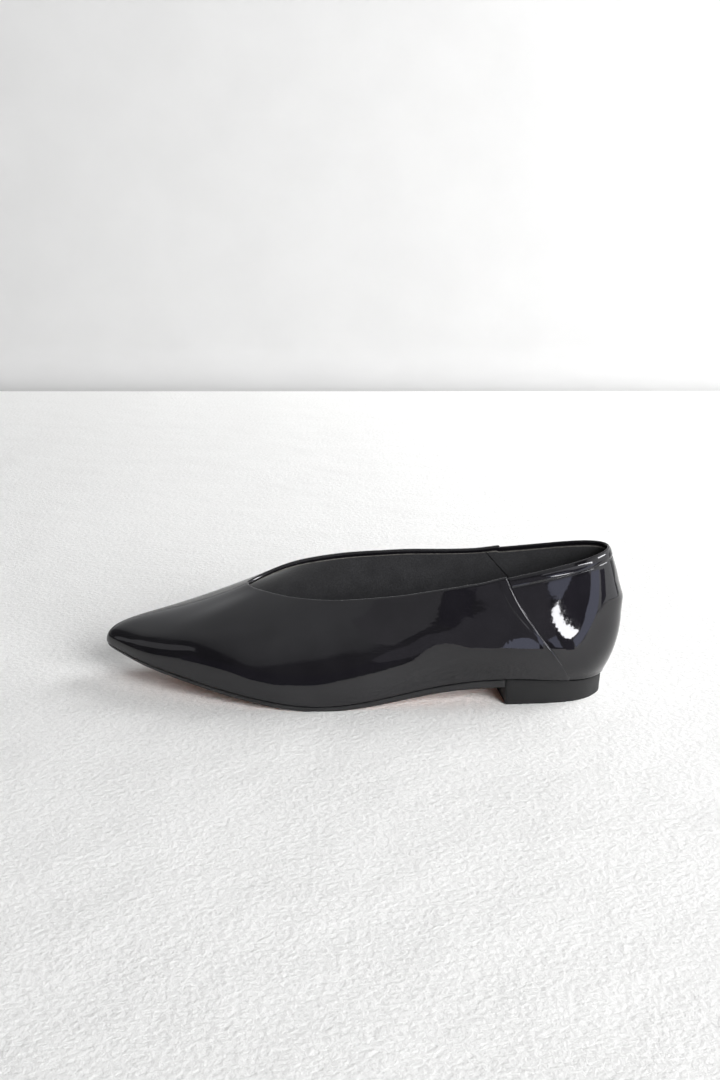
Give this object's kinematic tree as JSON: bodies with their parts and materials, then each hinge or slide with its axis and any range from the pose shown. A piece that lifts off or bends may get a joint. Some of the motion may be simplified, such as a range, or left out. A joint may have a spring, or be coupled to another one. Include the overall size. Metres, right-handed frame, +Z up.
{
  "type": "flat shoe",
  "caption": "Left pointed-toe flat shoe in black patent leather, with a high rounded throat, slanted side seams, a thin sole and a low block heel.",
  "frame": {"origin": "centre of the shoe's box, on the floor under heel and ball", "axes": "+X towards the back of the heel with the toe at -X, -Y towards the outer side of the left foot, +Z up"},
  "size_m": [0.2614, 0.0801, 0.0756],
  "materials": {
    "upper": "black patent, high gloss",
    "insole": "matte lining leather",
    "outsole": "matte, edge inked black",
    "heel": "matte black"
  },
  "bodies": {
    "root": {"upper": "upper", "insole": "insole", "outsole": "outsole", "heel": "heel"}
  },
  "joints": []
}
